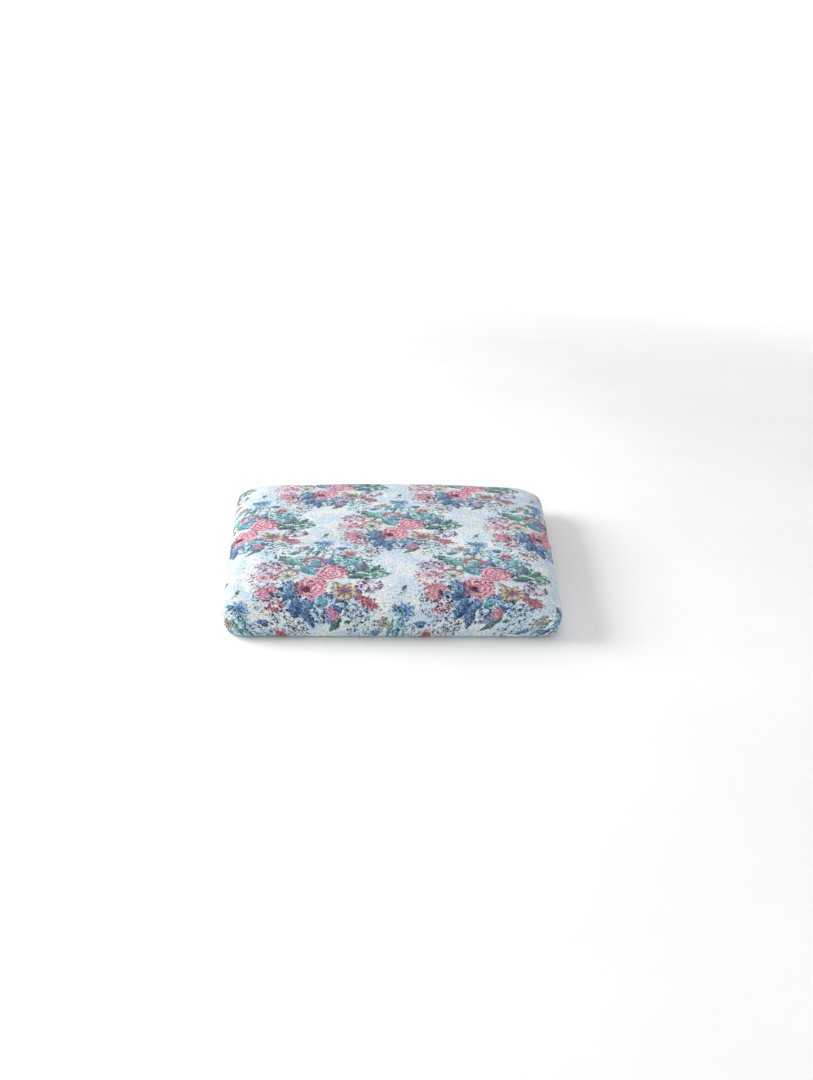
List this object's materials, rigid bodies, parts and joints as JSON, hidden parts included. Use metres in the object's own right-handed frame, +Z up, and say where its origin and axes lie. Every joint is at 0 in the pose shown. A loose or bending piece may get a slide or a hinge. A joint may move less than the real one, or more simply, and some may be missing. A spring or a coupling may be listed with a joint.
{
  "type": "upholstered slip seat",
  "caption": "Tapered upholstered chair seat pad: doweled wood frame, jute webbing, stuffing layers, floral tapestry cover folded under and a dust cover with screw holes.",
  "frame": {"origin": "middle of the underside, on the plane that the pad rests on", "axes": "+Z up through the crown, +X across the seat towards the sitter's left, -Y towards the front edge, +Y towards the chair's back"},
  "size_m": [0.4446, 0.382, 0.055],
  "materials": {
    "hardwood": "planed beech, unfinished, matte",
    "dowel_wood": "fluted birch dowel, matte",
    "jute_webbing": "plain woven jute, matte",
    "blued_steel": "blued cut tacks, satin",
    "hessian": "open plain-weave jute cloth, matte",
    "curled_hair": "curled black and brown hair, matte",
    "cotton_felt": "matted cotton, matte",
    "calico": "unbleached plain-weave cotton, matte",
    "staple_steel": "galvanised wire, satin",
    "wadding": "soft cotton wadding, matte",
    "tapestry": "woven floral tapestry, pale blue ground with pink and blue flowers, matte",
    "dust_cloth": "black nonwoven bottoming cloth, matte"
  },
  "bodies": {
    "root": {"front_rail": "hardwood", "rear_rail": "hardwood", "left_rail": "hardwood", "right_rail": "hardwood", "corner_dowels": "dowel_wood", "webbing_lengthwise_left": "jute_webbing", "webbing_lengthwise_middle": "jute_webbing", "webbing_lengthwise_right": "jute_webbing", "webbing_crosswise_front": "jute_webbing", "webbing_crosswise_middle": "jute_webbing", "webbing_crosswise_rear": "jute_webbing", "webbing_tacks": "blued_steel", "hessian_sheet": "hessian", "hessian_tacks": "blued_steel", "hair_stuffing": "curled_hair", "cotton_felt": "cotton_felt", "calico_undercover": "calico", "calico_staples": "staple_steel", "cotton_wadding": "wadding", "tapestry_cover": "tapestry", "cover_staples": "staple_steel", "dust_cover": "dust_cloth", "dust_cover_staples": "staple_steel"}
  },
  "joints": []
}
